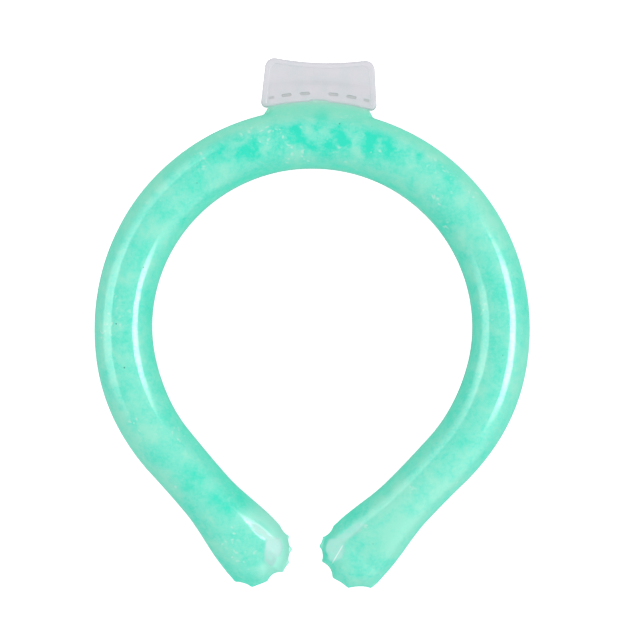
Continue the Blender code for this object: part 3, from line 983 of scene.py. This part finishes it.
def grow(name, source, group, values):
    """Run a node tree on source with the given inputs, and keep the result as a plain mesh object."""
    modifier = source.modifiers.new(group.name, "NODES")
    modifier.node_group = group
    for item in group.interface.items_tree:
        if item.in_out == "INPUT" and item.name in values:
            modifier[item.identifier] = values[item.name]
    graph = bpy.context.evaluated_depsgraph_get()
    mesh = bpy.data.meshes.new_from_object(source.evaluated_get(graph), depsgraph=graph)
    source.modifiers.remove(modifier)
    bpy.data.objects.remove(source)
    return link(bpy.data.objects.new(name, mesh))


def make_gel_material():
    material = new_material("slush_gel")
    tree = material.node_tree
    shader = principled(material)
    group = add_node(tree, "ShaderNodeGroup", node_tree=slush)
    colour = mix_colour(tree, group.outputs["Clear"], MINT, TEAL)
    colour = mix_colour(tree, group.outputs["Grain"], colour, GRAIN)
    tree.links.new(colour, shader.inputs["Base Color"])
    tree.links.new(ramp_between(tree, group.outputs["Milky"], 0.25, 0.55), shader.inputs["Roughness"])
    shader.inputs["Subsurface Weight"].default_value = 0.5
    shader.inputs["Subsurface Scale"].default_value = 2 * MM
    return material


gel_sizes = {"Sides": 40, "Lump Height": 0.15 * MM, "Lump Scale": 220.0, "Material": make_gel_material()}
gel = grow("gel", gel_line, gel_sweep(), gel_sizes)
settle(gel.data)
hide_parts("gel_core")
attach(gel, "root")
print("gel:", len(gel.data.vertices), "points, material", gel.data.materials[0].name)

# %% [markdown]
# ## The tab's body
# The tab is one moulding: a flat body with soft edges and a raised border that dies away along the
# arched lower edge. Its outline is drawn once. Each loop below is that outline moved inwards by a
# little, at its own height, so the edge radius, the border and the panel come from one short table.

# %% Draw the tab's outline
TAB_W = 43.4 * MM
TAB_TOP_W = 41.3 * MM
TAB_HEIGHT = 16.0 * MM
TAB_DIP = 1.3 * MM
TAB_TOP_CORNER = 3.6 * MM
TAB_LOW_CORNER = 2.0 * MM
TAB_HALF = 2.45 * MM
TAB_ARCH_R = 74.0 * MM
TAB_LOW_Y = TAB_LOW_R - 0.5 * MM
NOTCH_HALF = 3.2 * MM
NOTCH_DEPTH = 0.55 * MM
TAB_LOOPS = (
    # inset from the edge and height over mid height, in mm, with the border; then both without it
    (0.00, 0.00, 0.00, 0.00),
    (0.02, 1.20, 0.03, 0.90),
    (0.04, 1.75, 0.08, 1.30),
    (0.10, 2.08, 0.18, 1.60),
    (0.22, 2.30, 0.32, 1.82),
    (0.40, 2.42, 0.50, 1.97),
    (0.62, 2.45, 0.72, 2.08),
    (1.00, 2.43, 0.95, 2.14),
    (1.70, 2.42, 1.15, 2.16),
    (1.92, 2.38, 1.30, 2.16),
    (2.05, 2.27, 1.45, 2.16),
    (2.15, 2.17, 1.60, 2.16),
    (2.35, 2.15, 1.90, 2.15),
)


BORDER_LOOPS = 10
LOW_EDGE_LOOPS = 7


def arc_points(centre, radius, start, stop, steps):
    turns = [math.radians(start + (stop - start) * k / steps) for k in range(steps + 1)]
    return [Vector((centre[0] + radius * math.cos(t), centre[1] + radius * math.sin(t))) for t in turns]


def tab_outline(inset, low_inset):
    """The tab's edge drawn in by inset at its sides and top, and by low_inset along its lower arch."""
    arch_middle = Vector((0, TAB_LOW_Y - TAB_ARCH_R))
    low_r = TAB_ARCH_R + low_inset
    low_corner = max(TAB_LOW_CORNER - inset, 0.35 * MM)
    top_corner = TAB_TOP_CORNER - inset / 2
    half_low, half_top = TAB_W / 2 - inset, TAB_TOP_W / 2 - inset
    top_y = TAB_LOW_Y + TAB_HEIGHT - inset
    lean = math.degrees(math.atan2((TAB_W - TAB_TOP_W) / 2, TAB_HEIGHT))
    low_turn = math.asin((half_low - low_corner) / (low_r + low_corner))
    arch = [Vector((math.sin(low_turn * k / 40), math.cos(low_turn * k / 40))) * low_r for k in range(-40, 41)]
    corner = arch_middle + arch[-1] * (1 + low_corner / low_r)
    notched = 1 - low_inset / (1.4 * MM)
    low = [arch_middle + p for p in arch]
    for p in low:
        p.y += NOTCH_DEPTH * max(notched, 0) * smoothstep(NOTCH_HALF + 0.4 * MM, NOTCH_HALF - 0.4 * MM, abs(p.x))
    right_low = arc_points(corner, low_corner, -90 - math.degrees(low_turn), lean, 10)
    reach = half_top - top_corner
    slope = math.degrees(math.atan2(2 * TAB_DIP, reach))
    right_top = arc_points((reach, top_y - top_corner), top_corner, lean, 90 + slope, 12)
    side = [right_low[-1].lerp(right_top[0], k / 12) for k in range(1, 12)]
    end = right_top[-1]
    top = []
    for k in range(1, 40):
        x = end.x * (1 - k / 20)
        top.append(Vector((x, end.y - TAB_DIP * (1 - (x / end.x) ** 2))))
    right = right_low[1:] + side + right_top
    left = [Vector((-p.x, p.y)) for p in reversed(right)]
    return low + right + top + left


print("points on the tab's outline:", len(tab_outline(0, 0)))

# %% Raise the tab from its loops


def tab_mesh():
    points = tab_outline(0, 0)
    arch_middle = Vector((0, TAB_LOW_Y - TAB_ARCH_R))
    fade = [smoothstep(0.8 * MM, 4.5 * MM, (p - arch_middle).length - TAB_ARCH_R) for p in points]
    bm = bmesh.new()
    loops = []
    for border_inset, border_z, plain_inset, plain_z in TAB_LOOPS:
        heights = [(plain_z + (border_z - plain_z) * f) * MM for f in fade]
        moved = tab_outline(border_inset * MM, plain_inset * MM)
        loops.append([Vector((p.x, p.y, z)) for p, z in zip(moved, heights)])
    rows = [[Vector((p.x, p.y, -p.z)) for p in loop] for loop in loops[:0:-1]] + loops
    made = [[bm.verts.new(p) for p in row] for row in rows]
    count = len(points)
    for row, (low, high) in enumerate(zip(made, made[1:])):
        for k in range(count):
            face = bm.faces.new((low[k], low[(k + 1) % count], high[(k + 1) % count], high[k]))
            step_in = abs(row + 0.5 - (len(made) - 1) / 2)
            face.material_index = 1 if step_in < (BORDER_LOOPS if fade[k] > 0.2 else LOW_EDGE_LOOPS) else 0
    bm.faces.new(made[-1])
    bm.faces.new(made[0][::-1])
    bmesh.ops.recalc_face_normals(bm, faces=bm.faces)
    mesh = bpy.data.meshes.new("seal_tab_form")
    bm.to_mesh(mesh)
    bm.free()
    return mesh


tab = link(bpy.data.objects.new("sealing_tab", tab_mesh()))
print("tab faces before cutting:", len(tab.data.polygons))

# %% [markdown]
# ## Pocket and weld marks
# The tongue of the spout sits in a pocket, and a heated tool has pressed three marks to either side of
# the middle, on both faces. The marks repeat along the lower edge, so Geometry Nodes sets them out: a
# tapered slot on each of six points of an arc, and the same again upside down. They are cutters for a
# Boolean, and the material that they carry stays on the cut faces.

# %% Set out the weld marks with Geometry Nodes


def mark_row():
    group = bpy.data.node_groups.new("weld_marks", "GeometryNodeTree")
    for name, default in (
        ("Radius", 77.1 * MM), ("Middle", 10.85 * MM), ("First Turn", 4.0), ("Step", 5.54), ("Squeeze", 0.43),
        ("Length", 3.5 * MM), ("Width", 1.15 * MM), ("Taper", 0.15 * MM), ("Depth", 1.0 * MM), ("Height", 1.65 * MM),
        ("Outer Rise", 0.25 * MM), ("Outer Length", 0.6),
    ):
        add_input(group, name, "NodeSocketFloat", default)
    add_input(group, "Material", "NodeSocketMaterial")
    group.interface.new_socket("Marks", in_out="OUTPUT", socket_type="NodeSocketGeometry")
    given = group.nodes.new("NodeGroupInput").outputs
    result = group.nodes.new("NodeGroupOutput").inputs

    def calc(operation, a, b=0.0):
        return math_node(group, operation, a, b)

    index = group.nodes.new("GeometryNodeInputIndex").outputs[0]
    place = calc("MODULO", index, 3.0)
    side = calc("SUBTRACT", calc("MULTIPLY", calc("MODULO", calc("FLOOR", calc("DIVIDE", index, 3.0)), 2.0), 2.0), 1.0)
    face = calc("SUBTRACT", calc("MULTIPLY", calc("FLOOR", calc("DIVIDE", index, 6.0)), 2.0), 1.0)
    steps = calc("MULTIPLY", place, given["Step"])
    squeezed = calc("MULTIPLY", calc("MULTIPLY", place, place), given["Squeeze"])
    turn = calc("MULTIPLY", calc("RADIANS", calc("ADD", given["First Turn"], calc("SUBTRACT", steps, squeezed))), side)
    x = calc("MULTIPLY", given["Radius"], calc("SINE", turn))
    y = calc("ADD", calc("MULTIPLY", given["Radius"], calc("COSINE", turn)), given["Middle"])
    outermost = calc("GREATER_THAN", place, 1.5)
    z = calc("MULTIPLY", calc("ADD", given["Height"], calc("MULTIPLY", outermost, given["Outer Rise"])), face)
    spot = add_node(group, "ShaderNodeCombineXYZ", {"X": x, "Y": y, "Z": z}).outputs[0]
    points = add_node(group, "GeometryNodePoints", {"Count": 12, "Position": spot})
    slot = add_node(
        group, "GeometryNodeMeshCone",
        {
            "Vertices": 26,
            "Radius Top": calc("ADD", calc("DIVIDE", given["Width"], 2.0), given["Taper"]),
            "Radius Bottom": calc("SUBTRACT", calc("DIVIDE", given["Width"], 2.0), given["Taper"]),
            "Depth": given["Depth"],
        },
    )
    here = group.nodes.new("GeometryNodeInputPosition").outputs[0]
    sideways = add_node(group, "ShaderNodeSeparateXYZ", {0: here}).outputs["X"]
    stretch = calc("MULTIPLY", calc("SIGN", sideways), calc("DIVIDE", calc("SUBTRACT", given["Length"], given["Width"]), 2.0))
    offset = add_node(group, "ShaderNodeCombineXYZ", {"X": stretch}).outputs[0]
    long_slot = add_node(group, "GeometryNodeSetPosition", {"Geometry": slot.outputs["Mesh"], "Offset": offset})
    flip = calc("MULTIPLY", calc("LESS_THAN", face, 0.0), math.pi)
    spin = add_node(group, "ShaderNodeCombineXYZ", {"X": flip, "Z": calc("MULTIPLY", turn, -1.0)}).outputs[0]
    rotation = add_node(group, "FunctionNodeEulerToRotation", {"Euler": spin}).outputs[0]
    shorter = calc("SUBTRACT", 1.0, calc("MULTIPLY", outermost, calc("SUBTRACT", 1.0, given["Outer Length"])))
    scale = add_node(group, "ShaderNodeCombineXYZ", {"X": shorter, "Y": 1.0, "Z": 1.0}).outputs[0]
    copies = add_node(
        group, "GeometryNodeInstanceOnPoints",
        {"Points": points.outputs[0], "Instance": long_slot.outputs[0], "Rotation": rotation, "Scale": scale},
    )
    real = add_node(group, "GeometryNodeRealizeInstances", {"Geometry": copies.outputs[0]})
    painted = add_node(group, "GeometryNodeSetMaterial", {"Geometry": real.outputs[0], "Material": given["Material"]})
    group.links.new(painted.outputs[0], result["Marks"])
    return group


def make_tab_material(name, base, roughness, alpha):
    material = new_material(name)
    tree = material.node_tree
    shader = principled(material)
    where = tree.nodes.new("ShaderNodeTexCoord").outputs["Object"]
    clouds = add_node(tree, "ShaderNodeTexNoise", {"Vector": where, "Scale": 170.0, "Detail": 5.0, "Roughness": 0.65})
    cool = [base[0] * 0.93, base[1] * 0.99, base[2] * 0.97, 1]
    colour = mix_colour(tree, ramp(tree, clouds.outputs["Fac"], 0.38, 0.62), (*base, 1), cool)
    tree.links.new(colour, shader.inputs["Base Color"])
    frost = add_node(tree, "ShaderNodeTexNoise", {"Vector": where, "Scale": 1400.0, "Detail": 2.0})
    tree.links.new(ramp_between(tree, frost.outputs["Fac"], roughness - 0.08, roughness + 0.08), shader.inputs["Roughness"])
    bump = add_node(tree, "ShaderNodeBump", {"Height": frost.outputs["Fac"], "Strength": 0.2, "Distance": 0.05 * MM})
    tree.links.new(bump.outputs["Normal"], shader.inputs["Normal"])
    shader.inputs["Alpha"].default_value = alpha
    shader.inputs["Specular IOR Level"].default_value = 0.2
    shader.inputs["IOR"].default_value = 1.49
    return material


frosted = make_tab_material("frosted_clear", (0.577, 0.558, 0.600), 0.45, 0.82)
border = make_tab_material("frosted_border", (0.592, 0.568, 0.618), 0.48, 0.82)
# The weld marks' cut faces take a darker grey, painted shade of their pressed recesses.
pressed = make_tab_material("weld_mark_painted_shade", (0.445, 0.44, 0.455), 0.55, 0.95)
tab.data.materials.append(frosted)
tab.data.materials.append(border)
seed_point = bpy.data.meshes.new("weld_marks_seed")
seed_point.from_pydata([(0, 0, 0)], [], [])
marks_seed = link(bpy.data.objects.new("weld_marks_seed", seed_point))
mark_sizes = {
    "Radius": TAB_ARCH_R + 3.1 * MM, "Middle": TAB_LOW_Y - TAB_ARCH_R, "First Turn": 4.0, "Step": 5.54,
    "Squeeze": 0.43, "Length": 3.75 * MM, "Outer Rise": 0.25 * MM, "Outer Length": 0.6,
    "Width": 1.15 * MM, "Taper": 0.15 * MM, "Depth": 1.0 * MM, "Height": 1.65 * MM, "Material": pressed,
}
marks = grow("weld_marks", marks_seed, mark_row(), mark_sizes)
print("weld mark cutters:", len(marks.data.vertices), "points")

# %% Cut the marks and the pocket
POCKET_GAP = 0.25 * MM


def pocket_mesh():
    """The tongue's shape with the gap all round it, drawn out past the tab's lower edge."""
    half = SPOUT_HALF_W + POCKET_GAP
    height = TONGUE_HALF + POCKET_GAP
    bm = bmesh.new()
    rings = []
    for radius in (TUBE_EDGE_R, TONGUE_END_R + POCKET_GAP):
        ring = []
        for k in range(25):
            x = half * (k / 12 - 1)
            ring.append(Vector((x, math.sqrt(radius**2 - x**2), 0)))
        rings.append([bm.verts.new(p + UP * z) for z, row in ((height, ring), (-height, ring[::-1])) for p in row])
    low, high = rings
    count = len(low)
    for k in range(count):
        bm.faces.new((low[k], low[(k + 1) % count], high[(k + 1) % count], high[k]))
    bm.faces.new(low)
    bm.faces.new(high)
    bmesh.ops.recalc_face_normals(bm, faces=bm.faces)
    mesh = bpy.data.meshes.new("pocket")
    bm.to_mesh(mesh)
    bm.free()
    return mesh


def cut(target, tool):
    modifier = target.modifiers.new(tool.name, "BOOLEAN")
    modifier.operation = "DIFFERENCE"
    modifier.solver = "EXACT"
    modifier.material_mode = "TRANSFER"
    modifier.object = tool
    graph = bpy.context.evaluated_depsgraph_get()
    target_mesh = bpy.data.meshes.new_from_object(target.evaluated_get(graph), depsgraph=graph)
    target.modifiers.remove(modifier)
    target.data = target_mesh
    bpy.data.objects.remove(tool)


pocket = link(bpy.data.objects.new("pocket", pocket_mesh()))
pocket.data.materials.append(frosted)
cut(tab, pocket)
cut(tab, marks)
tab.data.set_sharp_from_angle(angle=math.radians(32))
settle(tab.data)
tab.data.set_sharp_from_angle(angle=math.radians(32))
tab.visible_diffuse = False
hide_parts("seal_tab")
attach(tab, "root")
print("tab:", len(tab.data.vertices), "points, materials", [m.name for m in tab.data.materials])
